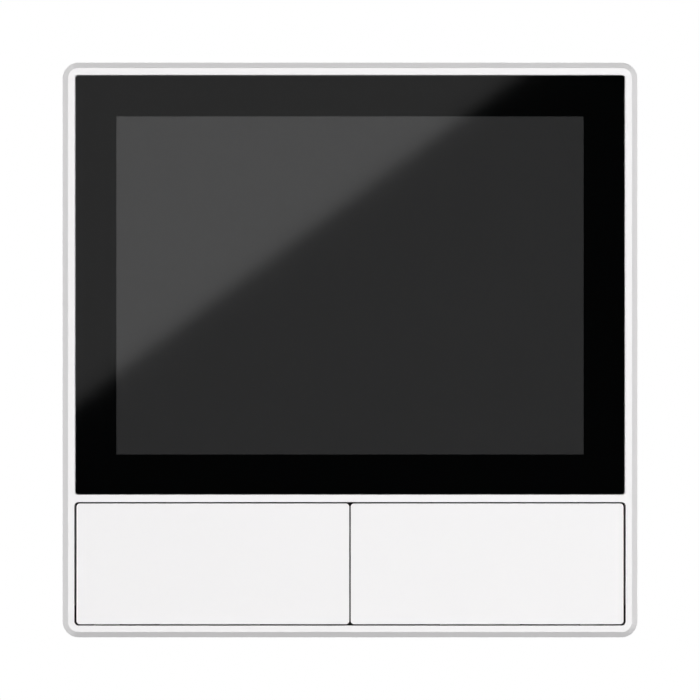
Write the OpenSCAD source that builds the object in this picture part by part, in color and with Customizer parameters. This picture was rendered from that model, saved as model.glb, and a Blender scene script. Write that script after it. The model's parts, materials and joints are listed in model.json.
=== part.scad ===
// Flush-mounted video intercom monitor for a square wall box.
//
// A display unit with a touch screen and two rocker keys clips onto a wall frame.
// The frame carries a rear box that sits in the wall and holds the power supply,
// two relays and a row of screw terminals.
//
// Frame: +X is right and +Z is up, seen from the front; +Y points into the wall.
// The origin lies on the wall plane, midway between the two fixing slots.

/* [Face] */
// Width and height of the square face
face_w = 86; // [85:1:90]
// How far the display unit stands out of the wall
front_depth = 12.5; // [12.5:0.5:15]
// Radius of the four outer corners
corner_r = 2.4; // [1.8:0.1:3.5]
// Width of the bevel round the face
bevel = 0.85; // [0.5:0.05:1]
// Depth of that bevel, front to back
bevel_d = 1.2; // [0.5:0.05:1.5]
// Width of the flat rim between bevel and glass
rim_w = 1.02; // [0.9:0.02:1.2]
// Width of the rim beside and below the keys
key_rim_w = 0.94; // [0.9:0.02:1.2]
// Width of the bar between glass and keys
bar_h = 1.1; // [1:0.1:2]

/* [Glass and display] */
// Height of the cover glass
glass_h = 62.6; // [61:0.1:64]
// Thickness of the cover glass
glass_t = 1.1; // [0.7:0.1:1.1]
// Width of the black border printed behind the glass, at the sides and top
mask_w = 6.08; // [5:0.02:8]
// Width of that border below the display
mask_low = 5.9; // [5:0.1:8]
// Width of the display's frame
lcd_w = 76; // [74:0.5:76]
// Height of the display's frame
lcd_h = 58; // [56:0.5:58]

/* [Keys] */
// Gap above and below the keys
key_gap = 0.22; // [0.2:0.02:0.3]
// Gap beside the keys, at their outer ends
key_side_gap = 0.32; // [0.2:0.02:0.4]
// Gap between the two keys
key_mid_gap = 0.22; // [0.2:0.02:0.4]
// Thickness of a key's front wall
key_t = 1.4; // [1.2:0.1:1.4]

/* [Wall frame and rear box] */
// Thickness of the wall frame
frame_t = 1.9; // [1.9:0.1:2.2]
// Distance between the two fixing slots
slot_pitch = 60.3; // [60:0.1:61]
// Width of a fixing slot
slot_w = 4.2; // [3.8:0.1:4.6]
// Length of a fixing slot, end to end
slot_l = 7; // [6:0.5:7.5]
// Width of the rear box
box_w = 50; // [50:0.5:51]
// Height of the rear box
box_h = 50; // [50:0.5:53]
// Depth of the rear box behind the wall plane
box_d = 26; // [24.5:0.5:32]

/* [Terminals] */
// Number of screw terminals
poles = 4; // [2:1:4]
// Distance between neighbouring terminals
pole_pitch = 7.5; // [7:0.1:7.6]

/* [Hidden] */
$fn = 48;
eps = 0.01;
cut = 1; // how far a cutting tool runs past the face it opens

// Colours
white = [0.93, 0.93, 0.92];
soft_white = [0.88, 0.88, 0.87];
ink = [0.02, 0.02, 0.02];
glass_tint = [0.55, 0.6, 0.62, 0.35];
lcd_grey = [0.12, 0.12, 0.12];
steel = [0.72, 0.73, 0.74];
brass = [0.83, 0.68, 0.35];
board_blue = [0.05, 0.16, 0.3];
board_green = [0.06, 0.3, 0.16];
chip_black = [0.09, 0.09, 0.1];
amber = [0.72, 0.42, 0.1];
dark_box = [0.16, 0.16, 0.17];

// Depth levels of the display unit, from the glass back to the wall
mask_t = 0.1;
tape_t = 0.2;
ledge_t = 1;
touch_t = 0.4;
cell_t = 1.3;
board_t = 1.2;
cover_t = 1.2;
y_face = -front_depth;
y_mask = y_face + glass_t;
y_tape = y_mask + mask_t;
y_ledge = y_tape + tape_t;
y_cavity = y_ledge + ledge_t;
y_cell = y_tape + touch_t + 0.2;
y_film = y_cell + cell_t + 0.1;
y_guide = y_film + 0.35;
y_shield = y_film + 1.5;
y_board = y_face + 5.5;
y_board_back = y_board + board_t;
y_cover_back = -frame_t - 0.3;
y_cover = y_cover_back - cover_t;

// Face layout
half = face_w / 2;
glass_gap = 0.08;
open_w = face_w - 2 * (bevel + rim_w);
top_edge = open_w / 2;
glass_open_h = glass_h + 2 * glass_gap;
glass_z = top_edge - glass_open_h / 2;
key_edge = half - bevel - key_rim_w;
key_open_top = top_edge - glass_open_h - bar_h;
key_open_h = key_open_top + key_edge;
key_open_z = (key_open_top - key_edge) / 2;
wall_t = 1.5;
cavity_w = face_w - 2 * wall_t;
cavity_x = cavity_w / 2;
ledge_w = 1.3;

// Keys and their hinges
key_top = key_open_top - key_gap;
key_bottom = -key_edge + key_gap;
key_h = key_top - key_bottom;
key_w = key_edge - key_side_gap - key_mid_gap / 2;
key_x = (key_mid_gap + key_w) / 2;
key_z = (key_top + key_bottom) / 2;
hinge_y = y_face + 2.6;
hinge_z = key_top - 1.55;
hinge_pin_r = 0.8;
hinge_bore_r = 0.85;
hinge_xs = [6, 36];
switch_arm = 11.6;
switch_z = hinge_z - switch_arm;
tab_xs = [10.5, 31.5];
plunger_tip = y_face + 2.2;

// Screw positions
boss_at = cavity_x - 1.5;
boss_in = cavity_x - 3.05;
pad_at = cavity_x - 1.9;
bar_screw_z = key_open_top - 2.2;
box_screw_x = box_w / 2 - 3.5;
box_screw_z = box_h / 2 - 3.5;

// Rear box levels
box_wall = 1.6;
box_seat = 0.4;
step_y = 19.5;
step_z = -9;
power_y = 3;
power_t = 1.6;
power_back = power_y + power_t;
term_z = -17.2;
term_top = step_y - box_wall - 0.1;
pin_pitch = 2.54;
pin_cols = 5;
sides = [-1, 1];

// ---------------------------------------------------------------- shared shapes

// Flat outline with true round corners, centred on the origin
module round_rect(w, h, r) {
    square([w - 2 * r, h], center = true);
    square([w, h - 2 * r], center = true);
    for (i = sides, j = sides)
        translate([i * (w / 2 - r), j * (h / 2 - r)]) circle(r);
}

// Stands a flat outline upright in the XZ plane, from depth y0 to y1
module slab(y0, y1) {
    translate([0, y1, 0]) rotate([90, 0, 0]) linear_extrude(y1 - y0) children();
}

// Upright plate with round corners
module plate(w, h, r, y0, y1, z = 0, x = 0) {
    translate([x, 0, z]) slab(y0, y1) round_rect(w, h, r);
}

// Upright rectangular block, centred on x and z
module block(w, h, y0, y1, x = 0, z = 0) {
    translate([x - w / 2, y0, z - h / 2]) cube([w, y1 - y0, h]);
}

// Block given by its limits along each axis
module bar(x, y, z) {
    translate([x[0], y[0], z[0]]) cube([x[1] - x[0], y[1] - y[0], z[1] - z[0]]);
}

// Rods along each axis
module rod_y(r, y0, y1, x = 0, z = 0) {
    translate([x, y0, z]) rotate([-90, 0, 0]) cylinder(h = y1 - y0, r = r);
}

module rod_x(r, x0, x1, y, z) {
    translate([x0, y, z]) rotate([0, 90, 0]) cylinder(h = x1 - x0, r = r);
}

module rod_z(r, z0, z1, x, y) {
    translate([x, y, z0]) cylinder(h = z1 - z0, r = r);
}

// Square block with round corners and a bevel round its front, c wide and d deep
module bevelled_block(w, r, c, d, y0, y1) {
    profile = [
        [-w / 2, y0 + d + eps], [-w / 2, y0 + d], [-w / 2 + c, y0],
        [w / 2 - c, y0], [w / 2, y0 + d], [w / 2, y0 + d + eps]
    ];
    plate(w, w, r, y0 + d, y1);
    for (turn = [0, 90])
        rotate([0, turn, 0]) linear_extrude(w - 2 * r, center = true) polygon(profile);
    for (i = sides, j = sides)
        translate([i * (w / 2 - r), y0, j * (w / 2 - r)])
            rotate([-90, 0, 0]) cylinder(h = d, r1 = r - c, r2 = r);
}

// Rectangular ring, such as a frame or a strip of tape
module ring(w, h, r, border, y0, y1, z = 0) {
    difference() {
        plate(w, h, r, y0, y1, z);
        plate(w - 2 * border, h - 2 * border, max(r - border, 0.3), y0 - cut, y1 + cut, z);
    }
}

// Pan-head screw along Y with a cross recess, its head at the front or at the back
module pan_screw(r, head_r, head_t, length, x, z, y_seat, dir) {
    y_head = [min(y_seat, y_seat + dir * head_t), max(y_seat, y_seat + dir * head_t)];
    y_shank = [min(y_seat, y_seat - dir * length), max(y_seat, y_seat - dir * length)];
    slot_d = head_t * 0.6;
    y_slot = dir < 0 ? [y_head[0] - cut, y_head[0] + slot_d] : [y_head[1] - slot_d, y_head[1] + cut];
    difference() {
        rod_y(head_r, y_head[0], y_head[1], x, z);
        block(head_r * 1.3, head_r * 0.28, y_slot[0], y_slot[1], x, z);
        block(head_r * 0.28, head_r * 1.3, y_slot[0], y_slot[1], x, z);
    }
    rod_y(r, y_shank[0], y_shank[1], x, z);
}

// Tube of a thin wire, swept along a list of points, with its rings held upright
function unit(v) = v / norm(v);
function ahead(p, i) = unit(p[min(i + 1, len(p) - 1)] - p[max(i - 1, 0)]);
module wire(p, r, n = 8) {
    points = [
        for (i = [0 : len(p) - 1])
            let (t = ahead(p, i), u = unit(cross(t, [0, 1, 0])), v = cross(t, u))
            for (k = [0 : n - 1])
                p[i] + r * (cos(360 * k / n) * u + sin(360 * k / n) * v)
    ];
    last = (len(p) - 1) * n;
    faces = concat(
        [[for (k = [0 : n - 1]) k]],
        [for (i = [0 : len(p) - 2], k = [0 : n - 1])
            [i * n + k, (i + 1) * n + k, (i + 1) * n + (k + 1) % n, i * n + (k + 1) % n]],
        [[for (k = [n - 1 : -1 : 0]) last + k]]
    );
    polyhedron(points, faces);
}

// ---------------------------------------------------------------- display unit, front

// Slots of a vent row, cut through a wall that faces up or down
module vent_row(count, pitch, w, y0, y1, z0, z1) {
    for (i = [0 : count - 1])
        bar([(i - (count - 1) / 2) * pitch - w / 2, (i - (count - 1) / 2) * pitch + w / 2],
            [y0, y1], [z0, z1]);
}

// Lug behind the bar that a key's hinge pin snaps into from behind
module hinge_saddle(x) {
    width = 2;
    difference() {
        bar([x - width / 2, x + width / 2], [hinge_y - 1, hinge_y + 1.4],
            [hinge_z - 1.6, key_open_top + 0.2]);
        rod_x(hinge_bore_r, x - width, x + width, hinge_y, hinge_z);
        bar([x - width, x + width], [hinge_y, hinge_y + 2], [hinge_z - 0.62, hinge_z + 0.62]);
    }
}

module front_bezel() {
    pilot_r = 0.75;
    tab_pocket = 0.5;
    color(white) difference() {
        union() {
            difference() {
                bevelled_block(face_w, corner_r, bevel, bevel_d, y_face, y_cover_back);
                plate(cavity_w, cavity_w, 1, y_cavity, cut);
                plate(open_w, glass_open_h, 0.45, y_face - cut, y_ledge, glass_z);
                plate(open_w - 2 * ledge_w, glass_open_h - 2 * ledge_w, 0.4,
                      y_face, y_cavity + cut, glass_z);
                plate(2 * key_edge, key_open_h, 0.65, y_face - cut, y_cavity + cut, key_open_z);
            }
            // rib behind the bar
            bar([-cavity_x - eps, cavity_x + eps], [y_cavity - eps, y_board - 0.2],
                [key_open_top, key_open_top + bar_h]);
            for (s = sides, x = hinge_xs) hinge_saddle(s * x);
            // corner bosses for the back cover's screws
            for (s = sides) {
                bar(s > 0 ? [boss_in, cavity_x + eps] : [-cavity_x - eps, -boss_in],
                    [y_cavity - eps, y_cover], [boss_in, cavity_x + eps]);
                bar(s > 0 ? [boss_in, cavity_x + eps] : [-cavity_x - eps, -boss_in],
                    [y_board - 1.2, y_cover], [-cavity_x - eps, -boss_in]);
                // side pads that the main board is screwed to
                bar(s > 0 ? [boss_in + 0.05, cavity_x + eps] : [-cavity_x - eps, -boss_in - 0.05],
                    [y_cavity - eps, y_board], [glass_z - 1.7, glass_z + 1.7]);
            }
            rod_y(1.6, y_board - 2.2, y_board, 0, bar_screw_z);
            bar([-0.7, 0.7], [y_board - 2.2, y_board], [bar_screw_z, key_open_top + 0.2]);
        }
        for (i = sides, j = sides)
            rod_y(pilot_r, y_cover - 3.5, y_cover + cut, i * boss_at, j * boss_at);
        for (s = sides) rod_y(pilot_r, y_board - 2.6, y_board + cut, s * pad_at, glass_z);
        rod_y(pilot_r, y_board - 1.9, y_board + cut, 0, bar_screw_z);
        // room for the keys' retaining tabs behind the lower lip
        for (s = sides, x = tab_xs)
            bar([s * x - 3.5, s * x + 3.5], [y_cavity, y_board - 0.6],
                [-cavity_x - tab_pocket, -cavity_x + cut]);
        // warm-air vents on top, sound slots and microphone hole below
        vent_row(13, 3, 1.2, y_board_back + 0.3, y_cover - 0.3, cavity_x - cut, half + cut);
        vent_row(6, 2.4, 1, y_board + 0.6, y_cover - 0.6, -half - cut, -cavity_x + cut);
        rod_z(0.5, -half - cut, -cavity_x + cut, 28, y_board_back + 0.8);
        // notch for prising the display unit off the wall frame
        bar([-4, 4], [y_cover_back - 1.1, cut], [-half - cut, -cavity_x + cut]);
    }
}

module cover_glass() {
    color(glass_tint)
        plate(open_w - 2 * glass_gap, glass_h, 0.4, y_face, y_mask, glass_z);
}

module black_mask() {
    width = open_w - 2 * glass_gap;
    window_h = glass_h - mask_w - mask_low;
    color(ink) difference() {
        plate(width, glass_h, 0.4, y_mask, y_tape, glass_z);
        plate(width - 2 * mask_w, window_h, 0.08, y_mask - cut, y_tape + cut,
              glass_z + (mask_low - mask_w) / 2);
    }
}

module glass_tape() {
    color([0.1, 0.1, 0.1])
        ring(open_w - 0.5, glass_open_h - 0.5, 0.4, 0.8, y_tape, y_ledge, glass_z);
}

module touch_sensor() {
    color([0.2, 0.22, 0.22])
        plate(open_w - 2 * ledge_w - 0.4, glass_open_h - 2 * ledge_w - 0.4, 0.3,
              y_tape, y_tape + touch_t, glass_z);
}

// ---------------------------------------------------------------- display

// Two bonded sheets; the front one stops short to leave the connection ledge
module lcd_cell() {
    split = y_cell + cell_t * 0.54;
    ledge = 2.6;
    color(lcd_grey) {
        plate(lcd_w - 1, lcd_h - 1, 0.2, split, y_cell + cell_t, glass_z);
        plate(lcd_w - 1, lcd_h - 1 - ledge, 0.2, y_cell, split, glass_z + ledge / 2);
    }
}

module backlight_frame() {
    y_lip = y_cell + 0.1;
    color(soft_white) difference() {
        plate(lcd_w, lcd_h, 0.6, y_lip, y_shield, glass_z);
        plate(lcd_w - 0.8, lcd_h - 0.8, 0.3, y_lip - cut, y_cell + cell_t + 0.02, glass_z);
        plate(lcd_w - 2.6, lcd_h - 2.6, 0.3, y_lip, y_shield + cut, glass_z);
        block(25, 3, y_lip - cut, y_cell + 1, 0, glass_z - lcd_h / 2);
    }
}

module diffuser_film() {
    color([0.95, 0.95, 0.96])
        plate(lcd_w - 3, lcd_h - 3, 0.3, y_film, y_film + 0.3, glass_z);
}

module light_guide() {
    color([0.85, 0.92, 0.95, 0.5])
        plate(lcd_w - 3, lcd_h - 4.6, 0.3, y_guide, y_guide + 1, glass_z + 0.8);
}

module backlight_leds() {
    z_strip = glass_z - lcd_h / 2 + 1.6;
    count = 8;
    color(amber)
        bar([-lcd_w / 2 + 4, lcd_w / 2 - 4], [y_guide + 0.85, y_guide + 1],
            [z_strip, z_strip + 1.2]);
    color([0.95, 0.93, 0.6])
        for (i = [0 : count - 1])
            block(3, 0.8, y_guide + 0.2, y_guide + 0.85, (i - (count - 1) / 2) * 8.4, z_strip + 0.6);
}

module lcd_shield() {
    wall = 0.25;
    play = 0.05;
    outer_w = lcd_w + 2 * (wall + play);
    outer_h = lcd_h + 2 * (wall + play);
    color(steel) difference() {
        plate(outer_w, outer_h, 0.9, y_cell + 1.1, y_shield + 0.3, glass_z);
        plate(lcd_w + 2 * play, lcd_h + 2 * play, 0.65, y_cell, y_shield, glass_z);
        // stamped windows that lighten the back plate
        for (i = sides, j = sides)
            plate(12, 6, 1, y_shield - cut, y_shield + cut, glass_z + j * 18, i * 24);
    }
}

// Flat flexible lead from the cell's ledge, through the board's slot, to its socket
flex_w = 24;
flex_t = 0.15;
flex_bend = 0.8;
flex_y0 = y_cell + cell_t * 0.54 - flex_t;
flex_y1 = y_board_back + 0.62;
flex_z = glass_z - lcd_h / 2 - 1.35;
module display_flex() {
    steps = 6;
    r_in = flex_bend - flex_t;
    z_turn = flex_z + flex_bend;
    function bend(r, y, a0, a1) = [
        for (i = [0 : steps]) let (a = a0 + (a1 - a0) * i / steps)
            [y + r * cos(a), z_turn + r * sin(a)]
    ];
    outer = concat(
        [[flex_y0, z_turn + 2.2]],
        bend(flex_bend, flex_y0 + flex_bend, 180, 270),
        bend(flex_bend, flex_y1 + flex_t - flex_bend, 270, 360),
        [[flex_y1 + flex_t, z_turn + 2.9]]
    );
    inner = concat(
        [[flex_y1, z_turn + 2.9]],
        bend(r_in, flex_y1 + flex_t - flex_bend, 360, 270),
        bend(r_in, flex_y0 + flex_bend, 270, 180),
        [[flex_y0 + flex_t, z_turn + 2.2]]
    );
    color(amber) translate([-flex_w / 2, 0, 0]) rotate([90, 0, 90])
        linear_extrude(flex_w) polygon(concat(outer, inner));
}

// ---------------------------------------------------------------- main board

speaker_w = 28;
speaker_h = 14.4;
speaker_z = -cavity_x + 0.3 + speaker_h / 2;

module main_board() {
    edge = cavity_x - 0.5;
    color(board_blue) difference() {
        plate(2 * edge, 2 * edge, 0.8, y_board, y_board_back);
        for (i = sides, j = sides)
            block(2 * (half - boss_in) + 0.4, 2 * (half - boss_in) + 0.4,
                  y_board - cut, y_board_back + cut, i * half, j * half);
        block(speaker_w + 0.8, 2 * speaker_h + 0.8, y_board - cut, y_board_back + cut,
              0, speaker_z - speaker_h / 2);
        block(flex_w + 3, 1.7, y_board - cut, y_board_back + cut, 0, flex_z);
        for (s = sides)
            rod_y(0.9, y_board - cut, y_board_back + cut, s * pad_at, glass_z);
        rod_y(0.9, y_board - cut, y_board_back + cut, 0, bar_screw_z);
    }
}

// Each chip: centre x, centre z, width, height, thickness
chips = [
    [16, 24, 13, 13, 1.3], [33, 26, 8, 11, 1], [18, 10, 6, 6, 0.9], [30, 11, 7, 5, 1.2],
    [-31, 3, 6, 5, 1.3], [-20, -9, 5, 5, 0.9], [24, -10, 7, 6, 1.1], [34, -25, 5, 4, 1]
];
module board_chips() {
    color(chip_black)
        for (c = chips)
            block(c[2], c[3], y_board_back, y_board_back + c[4], c[0], c[1]);
}

// Flat-lead socket and the two-pin speaker socket
module board_connectors() {
    zif_z = flex_z + flex_bend + 4;
    color([0.86, 0.84, 0.78]) {
        difference() {
            block(flex_w + 4, 4, y_board_back, y_board_back + 1.4, 0, zif_z);
            bar([-flex_w / 2 - 0.2, flex_w / 2 + 0.2], [flex_y1 - 0.1, flex_y1 + flex_t + 0.1],
                [zif_z - 2 - cut, zif_z - 0.9]);
        }
        difference() {
            block(5.4, 4, y_board_back, y_board_back + 2.2, 24, -29);
            block(4.4, 3, y_board_back + 0.6, y_board_back + 1.8, 24 - cut, -29);
        }
    }
}

radio_x = -27;
radio_z = 26.5;
module radio_board() {
    color(chip_black) block(18, 24, y_board_back, y_board_back + 0.8, radio_x, radio_z);
}

module radio_shield() {
    color(steel)
        plate(15.6, 16.4, 0.6, y_board_back + 0.8, y_cover - 0.15, radio_z - 2.8, radio_x);
}

module board_socket() {
    hole = 0.9;
    color(chip_black) difference() {
        block(pin_cols * pin_pitch + 0.3, 2 * pin_pitch + 0.1, y_board_back, -frame_t + 0.2);
        for (i = [0 : pin_cols - 1], j = sides)
            block(hole, hole, y_board_back + 0.4, cut,
                  (i - (pin_cols - 1) / 2) * pin_pitch, j * pin_pitch / 2);
    }
}

// ---------------------------------------------------------------- key switches

module switch_body(x) {
    y_top = y_board - 2.5;
    size = 6.2;
    color(chip_black) difference() {
        union() {
            block(size, size, y_top, y_board, x, switch_z);
            for (i = sides, j = sides)
                block(1.2, 0.8, y_board - 0.3, y_board,
                      x + i * (size / 2 + 0.5), switch_z + j * 2.25);
        }
        rod_y(1.6, y_top - cut, y_board - 0.6, x, switch_z);
        rod_y(2.4, y_top + 0.3, y_board - 0.6, x, switch_z);
    }
}

module plunger(x) {
    color([0.75, 0.2, 0.15]) {
        rod_y(1.5, plunger_tip, y_board - 1.4, x, switch_z);
        rod_y(2.1, y_board - 1.9, y_board - 1.4, x, switch_z);
    }
}

// The right-hand key; the left one is its mirror image
module key() {
    y_back = y_face + key_t;
    y_skirt = y_face + 2.6;
    skirt = 1;
    ear_in = 1.3;
    ear_t = 1;
    difference() {
        union() {
            plate(key_w, key_h, 0.5, y_face, y_back, key_z, key_x);
            difference() {
                plate(key_w, key_h, 0.5, y_back - eps, y_skirt, key_z, key_x);
                plate(key_w - 2 * skirt, key_h - 2 * skirt, 0.3, y_back - cut, y_skirt + cut,
                      key_z, key_x);
                // the saddles and hinge ears take the skirt's place
                for (x = hinge_xs)
                    block(2 * (ear_in + ear_t) + 0.6, 4, y_back, y_skirt + cut, x, key_top);
            }
            // stiffening ribs behind the front wall
            for (x = [13.6, 27.6])
                bar([x - 0.4, x + 0.4], [y_back - eps, y_back + 0.8],
                    [key_bottom + 0.5, key_top - 0.5]);
            bar([key_mid_gap / 2 + 0.5, key_mid_gap / 2 + key_w - 0.5],
                [y_back - eps, y_back + 0.8], [key_z - 1.9, key_z - 1.1]);
            // hinge ears, each pair joined by its pin
            for (x = hinge_xs, s = sides) {
                x0 = s > 0 ? x + ear_in : x - ear_in - ear_t;
                bar([x0, x0 + ear_t], [y_back - eps, hinge_y], [hinge_z - 1.2, hinge_z + 1.2]);
                rod_x(1.2, x0, x0 + ear_t, hinge_y, hinge_z);
            }
            // post that presses the switch, with a narrower tip
            rod_y(1.8, y_back - eps, plunger_tip - 0.3, key_x, switch_z);
            rod_y(1, y_back - eps, plunger_tip - 0.05, key_x, switch_z);
            // tabs that hold the key behind the lower lip
            for (x = tab_xs)
                bar([x - 3, x + 3], [y_cavity + 0.1, y_cavity + 1],
                    [key_bottom - 0.75, key_bottom + skirt]);
            for (x = tab_xs)
                bar([x - 3, x + 3], [y_back - eps, y_cavity + 1], [key_bottom + 0.1, key_bottom + skirt]);
        }
        // moulded clearance round each saddle
        for (x = hinge_xs)
            bar([x - ear_in, x + ear_in], [y_back, y_skirt + cut], [hinge_z - 2.2, key_top + cut]);
    }
    for (x = hinge_xs)
        rod_x(hinge_pin_r, x - ear_in - 0.5, x + ear_in + 0.5, hinge_y, hinge_z);
}

module key_right() {
    color(white) key();
}

module key_left() {
    color(white) mirror([1, 0, 0]) key();
}

// ---------------------------------------------------------------- sound

module speaker_box() {
    y0 = y_board + 0.1;
    y1 = y_cover - 0.15;
    color(chip_black) difference() {
        plate(speaker_w, speaker_h, 1, y0, y1, speaker_z);
        plate(16, 11, 0.8, y0 + 0.7, y1 + cut, speaker_z + 0.8);
        // duct from the driver down to the sound slots
        bar([-6, 6], [y0 + 0.7, y1 - 0.7], [speaker_z - speaker_h / 2 - cut, speaker_z]);
        // channel for the leads
        bar([7, speaker_w / 2 + cut], [lead_y - 0.3, y1 + cut], [lead_z - 0.7, lead_z + 1.9]);
    }
}

module speaker_driver() {
    y0 = y_board + 1.1;
    y1 = y_cover - 0.25;
    color([0.35, 0.35, 0.36]) difference() {
        plate(15.4, 10.4, 0.6, y0, y1, speaker_z + 0.8);
        plate(12.6, 7.8, 2, y1 - 0.5, y1 + cut, speaker_z + 0.8);
    }
}

module speaker_gasket() {
    z0 = speaker_z - speaker_h / 2;
    color([0.12, 0.12, 0.12]) difference() {
        bar([-8.6, 8.6], [y_board + 0.2, y_cover - 0.3], [z0 - 0.28, z0]);
        bar([-7, 7], [y_board + 0.5, y_cover - 0.6], [z0 - cut, z0 + cut]);
    }
}

// Leads from the driver to the speaker socket, laid over the board
lead_y = y_board_back + 1.2;
lead_z = speaker_z + 3;
lead_points = [
    [7.8, 0.3, 0], [10.5, 0.35, 0], [13, 0.35, 0.05], [15, 0.25, 0.3], [17, 0.08, 0.8],
    [19, 0, 1.2], [20.2, 0, 1.35], [21.6, 0, 1.4]
];
module speaker_wires() {
    lead_colours = [[0.75, 0.1, 0.1], [0.08, 0.08, 0.08]];
    for (k = [0, 1])
        color(lead_colours[k])
            wire([for (p = lead_points) [p[0], lead_y + p[1], lead_z + p[2] + 1.2 * k]], 0.4);
}

module microphone() {
    color(steel) block(3.8, 3, y_board_back, y_board_back + 1.1, 28, -cavity_x + 2.7);
}

module microphone_boot() {
    color([0.08, 0.08, 0.08]) difference() {
        bar([25.6, 30.4], [y_board_back + 0.05, y_board_back + 1.6], [-cavity_x + 0.05, -cavity_x + 1.1]);
        rod_z(0.5, -cavity_x - cut, -cavity_x + 2, 28, y_board_back + 0.8);
    }
}

// ---------------------------------------------------------------- back cover

hook_x = 22;
hook_z = cavity_x - 2.2;
module hook(s) {
    barb = 0.35;
    for (x = [-hook_x, hook_x]) {
        block(7, 1.2, y_cover, -0.5, x, s * hook_z);
        translate([x - 3.5, 0, s * (hook_z + 0.6)]) rotate([90, 0, 90])
            linear_extrude(7) polygon([[-1, -s * eps], [-1, s * barb], [-0.5, -s * eps]]);
    }
}

module back_cover() {
    size = cavity_w - 0.3;
    color(soft_white) difference() {
        union() {
            plate(size, size, 0.8, y_cover, y_cover_back);
            for (s = sides) {
                plate(15, 13, 1.5, y_cover - 0.5, y_cover_back, 0, s * slot_pitch / 2);
                hook(s);
            }
        }
        // pockets over the heads of the wall screws
        for (s = sides)
            plate(12.4, 10.4, 1, y_cover_back - 0.8, cut, 0, s * slot_pitch / 2);
        plate(pin_cols * pin_pitch + 1.3, 2 * pin_pitch + 1.1, 0.5, y_cover - 2, cut);
        for (i = sides, j = sides) {
            rod_y(1, y_cover - cut, cut, i * boss_at, j * boss_at);
            rod_y(1.45, y_cover_back - 0.6, cut, i * boss_at, j * boss_at);
        }
        // vents in line with the board's warm parts
        for (j = sides, i = [-5 : 5])
            plate(1.2, 8, 0.55, y_cover - cut, cut, j * 19, i * 3);
        bar([-4.2, 4.2], [y_cover - cut, cut], [-cavity_x, -cavity_x + 0.9]);
    }
}

module cover_screws() {
    color(steel)
        for (i = sides, j = sides)
            pan_screw(0.7, 1.3, 0.5, 3.9, i * boss_at, j * boss_at, y_cover_back - 0.6, 1);
}

module board_screws() {
    color(steel) {
        for (s = sides)
            pan_screw(0.7, 1.3, 0.7, 3.4, s * pad_at, glass_z, y_board_back, 1);
        pan_screw(0.7, 1.3, 0.7, 2.9, 0, bar_screw_z, y_board_back, 1);
    }
}

// ---------------------------------------------------------------- wall frame and rear box

post_x = 15;
post_z = 20.6;

// Slot with round ends, its length along X
module slot(length, w, y0, y1, x = 0) {
    r = w / 2;
    translate([x, 0, 0]) {
        block(length - w, w, y0, y1);
        for (s = sides) rod_y(r, y0, y1, s * (length / 2 - r));
    }
}

module wall_frame() {
    size = face_w - 0.6;
    color(white) {
        difference() {
            plate(size, size, corner_r - 0.3, -frame_t, 0);
            // seat of the rear box
            plate(box_w + 0.4, box_h + 0.4, 3.7, -box_seat, cut);
            plate(pin_cols * pin_pitch + 1.7, 2 * pin_pitch + 1.7, 0.6, -frame_t - cut, cut);
            for (s = sides) {
                slot(slot_l, slot_w, -frame_t - cut, cut, s * slot_pitch / 2);
                // sunk seat for the screw's head
                slot(slot_l + 3.4, slot_w + 4.4, -frame_t - cut, -frame_t + 0.9, s * slot_pitch / 2);
                for (x = [-hook_x, hook_x])
                    block(7.6, 2.6, -frame_t - cut, cut, x, s * (hook_z + 0.25));
            }
            for (i = sides, j = sides) {
                rod_y(1.35, -frame_t - cut, cut, i * box_screw_x, j * box_screw_z);
                rod_y(2.4, -frame_t - cut, -frame_t + 0.9, i * box_screw_x, j * box_screw_z);
            }
            // shallow relief that stiffens the plate's borders
            for (j = sides)
                plate(62, 7.5, 1, -frame_t - cut, -frame_t + 0.5, j * 31.5);
            for (i = sides, j = sides)
                plate(7, 22, 1, -frame_t - cut, -frame_t + 0.5, j * 20, i * 35.5);
        }
        // posts that hold the power board off the frame
        for (i = sides, j = sides)
            rod_y(1.4, -box_seat - 0.1, power_y - 0.05, i * post_x, j * post_z);
    }
}

module box_shape(inset, y0, y_low, y_high) {
    r = 4 - inset;
    w = box_w - 2 * inset;
    plate(w, box_h - 2 * inset, r, y0, y_low);
    plate(w, box_h / 2 - step_z - 2 * inset, r, y0, y_high, (box_h / 2 + step_z) / 2);
}

module rear_box() {
    pilot_r = 1.3;
    color(dark_box) difference() {
        union() {
            difference() {
                box_shape(0, -box_seat, step_y, box_d);
                box_shape(box_wall, -box_seat - cut, step_y - box_wall, box_d - box_wall);
            }
            for (i = sides, j = sides) {
                rod_y(2.6, -box_seat, 11, i * box_screw_x, j * box_screw_z);
            }
            // ribs that the power board rests against
            for (s = sides)
                block(box_wall + 0.2, 6, power_back + 0.05, power_back + 4,
                      s * (box_w / 2 - box_wall / 2 - 0.6));
        }
        for (i = sides, j = sides)
            rod_y(pilot_r, -box_seat - cut, 9.5, i * box_screw_x, j * box_screw_z);
        for (n = [1 : poles]) {
            // screwdriver holes, wire entries and the guides below them
            rod_y(2.3, step_y - box_wall - cut, step_y + cut, pole_x(n), term_z);
            bar([pole_x(n) - 1.9, pole_x(n) + 1.9], [cage_y + 0.9, contact_y],
                [-box_h / 2 - cut, -box_h / 2 + box_wall + cut]);
            bar([pole_x(n) - 2.8, pole_x(n) + 2.8], [cage_y, contact_y + 0.9],
                [-box_h / 2 - cut, -box_h / 2 + 0.6]);
        }
        // vents in the sides and top of the deep part
        for (k = [0 : 3]) {
            y0 = 13.6 + 2.4 * k;
            for (s = sides)
                block(2 * box_wall, 18, y0, y0 + 1.2, s * box_w / 2, 7);
            bar([-16, 16], [y0, y0 + 1.2], [box_h / 2 - box_wall - cut, box_h / 2 + cut]);
        }
        // sunk panel on the back
        plate(36, 20, 1.5, box_d - 0.4, box_d + cut, (box_h / 2 + step_z) / 2);
    }
}

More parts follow.
